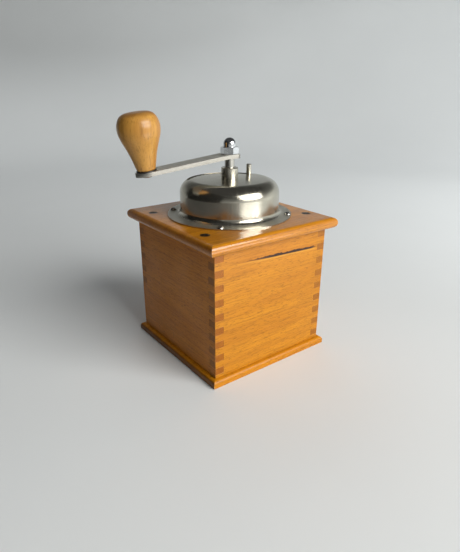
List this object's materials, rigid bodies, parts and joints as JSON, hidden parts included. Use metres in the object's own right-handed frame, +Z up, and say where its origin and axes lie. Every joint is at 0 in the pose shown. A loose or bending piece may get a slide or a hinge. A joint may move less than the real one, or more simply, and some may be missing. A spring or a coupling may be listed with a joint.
{
  "type": "hand crank coffee grinder",
  "caption": "Box coffee mill: finger-jointed wooden case with a drawer, steel dome with a filler shutter, conical burrs and a crank with a turned wooden knob.",
  "frame": {"origin": "centre of the base board's underside, where the mill rests", "axes": "+Z up along the crankshaft; -Y towards the drawer's knob; +X towards the crank arm at rest"},
  "size_m": [0.153, 0.1398, 0.2025],
  "materials": {
    "beech": "amber varnished, satin gloss",
    "pale_beech": "sanded, unvarnished",
    "plywood": "sanded thin plywood",
    "turned_beech": "turned and clear varnished",
    "bronzed_screw": "bronzed, slotted",
    "satin_nickel": "nickel plated, satin",
    "bright_screw": "bright zinc plated, slotted",
    "chrome": "polished chrome plate",
    "steel": "nickel plated, lightly brushed",
    "dark_steel": "blackened",
    "bearing_steel": "polished, hardened",
    "tinned_sheet": "tinned, pressed",
    "burr_iron": "hardened iron, milled teeth"
  },
  "bodies": {
    "case": {"base_board": "beech", "right_panel": "beech", "left_panel": "beech", "back_panel": "beech", "front_panel": "beech", "top_board": "beech", "top_board_screws": "bronzed_screw", "base_screws": "bronzed_screw", "dome": "satin_nickel", "dome_screws": "bright_screw", "dome_bush": "satin_nickel", "bush_nut": "satin_nickel", "hopper_bowl": "tinned_sheet", "burr_screws": "bright_screw", "upper_bridge": "steel", "outer_burr": "burr_iron", "bridge_spacers": "steel", "bridge_screws": "bright_screw", "lower_bridge": "steel", "lock_nut": "steel", "burr_spring": "steel"},
    "shutter_plate": {"shutter": "satin_nickel", "shutter_pin": "satin_nickel"},
    "drawer": {"drawer_front": "beech", "drawer_right_side": "pale_beech", "drawer_left_side": "pale_beech", "drawer_back": "pale_beech", "drawer_bottom": "plywood", "drawer_knob": "turned_beech", "drawer_knob_screw": "bright_screw"},
    "thrust": {"thrust_ball": "bearing_steel"},
    "adjuster": {"adjusting_screw": "steel"},
    "crankshaft": {"shaft": "steel", "inner_burr": "burr_iron", "burr_pin": "steel", "crank_arm": "steel", "crank_nut": "chrome", "knob_spindle": "steel", "knob_washer": "dark_steel"},
    "crank_knob": {"knob": "turned_beech"}
  },
  "joints": [
    {"name": "burr_gap", "type": "slide", "parent": "case", "child": "thrust", "axis": [0, 0, 1], "range_m": [-0.00098, 0.00098], "deforming": ["burr_spring"]},
    {"name": "adjuster_turn", "type": "hinge", "parent": "thrust", "child": "adjuster", "pos_m": [0, 0, 0.0495], "axis": [0, 0, 1], "range_deg": [-285, 285]},
    {"name": "crank_spin", "type": "hinge", "parent": "thrust", "child": "crankshaft", "pos_m": [0, 0, 0.15], "axis": [0, 0, 1], "continuous": true},
    {"name": "knob_spin", "type": "hinge", "parent": "crankshaft", "child": "crank_knob", "pos_m": [0.06959, -0.01127, 0.15939], "axis": [0.1263, -0.0205, 0.9918], "continuous": true},
    {"name": "shutter_turn", "type": "hinge", "parent": "case", "child": "shutter_plate", "pos_m": [0, 0, 0.1476], "axis": [0, 0, 1], "range_deg": [0, 130]},
    {"name": "drawer_slide", "type": "slide", "parent": "case", "child": "drawer", "axis": [0, -1, 0], "range_m": [0, 0.085]}
  ],
  "couplings": [
    {"joint": "adjuster_turn", "follows": "burr_gap", "rad_per_m": 5026.5}
  ]
}
